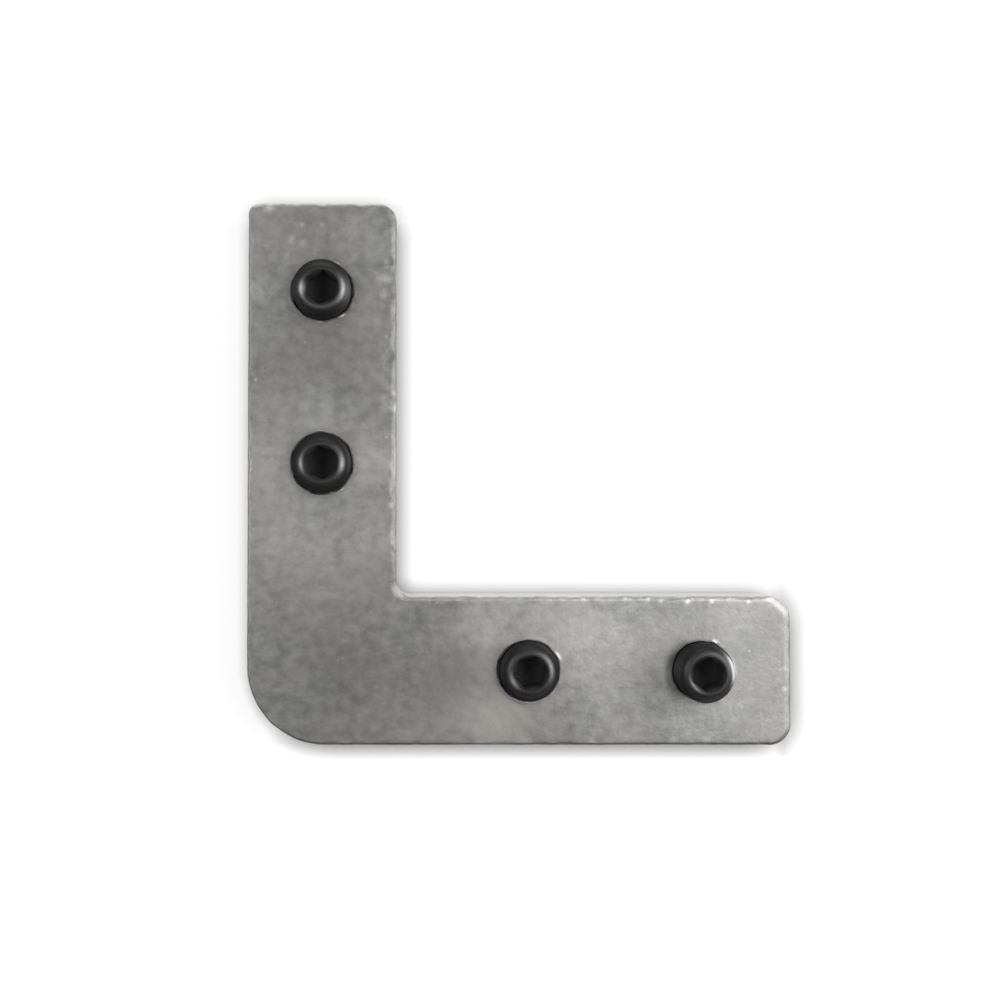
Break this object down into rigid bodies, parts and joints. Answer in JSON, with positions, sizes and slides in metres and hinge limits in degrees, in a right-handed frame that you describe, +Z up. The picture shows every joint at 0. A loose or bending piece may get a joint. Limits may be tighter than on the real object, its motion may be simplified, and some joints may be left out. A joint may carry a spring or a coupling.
{
  "type": "flat angle connector for channel profiles",
  "caption": "Flat L-shaped steel plate with hexagon socket set screws in both legs; slides into profile grooves and clamps them at a right angle.",
  "frame": {"origin": "on the underside, where the centre lines of the two legs cross", "axes": "+X along one leg towards its end, +Y along the other leg towards its end, +Z up out of the upper face, the side the screws are driven from"},
  "size_m": [0.0365, 0.0365, 0.0048],
  "materials": {
    "zinc_plated_steel": "satin, tumbled and zinc plated, mottled",
    "black_oxide_steel": "black oxide, oiled, half gloss"
  },
  "bodies": {
    "plate": {"angle_plate": "zinc_plated_steel"},
    "x_inner_screw": {"x_inner_set_screw": "black_oxide_steel"},
    "x_outer_screw": {"x_outer_set_screw": "black_oxide_steel"},
    "y_inner_screw": {"y_inner_set_screw": "black_oxide_steel"},
    "y_outer_screw": {"y_outer_set_screw": "black_oxide_steel"}
  },
  "joints": [
    {"name": "x_inner_drive", "type": "slide", "parent": "plate", "child": "x_inner_screw", "axis": [0, 0, -1], "range_m": [-0.0014, 0.0014]},
    {"name": "x_outer_drive", "type": "slide", "parent": "plate", "child": "x_outer_screw", "axis": [0, 0, -1], "range_m": [-0.0007, 0.0021]},
    {"name": "y_inner_drive", "type": "slide", "parent": "plate", "child": "y_inner_screw", "axis": [0, 0, -1], "range_m": [-0.0014, 0.0014]},
    {"name": "y_outer_drive", "type": "slide", "parent": "plate", "child": "y_outer_screw", "axis": [0, 0, -1], "range_m": [-0.0007, 0.0014]}
  ]
}
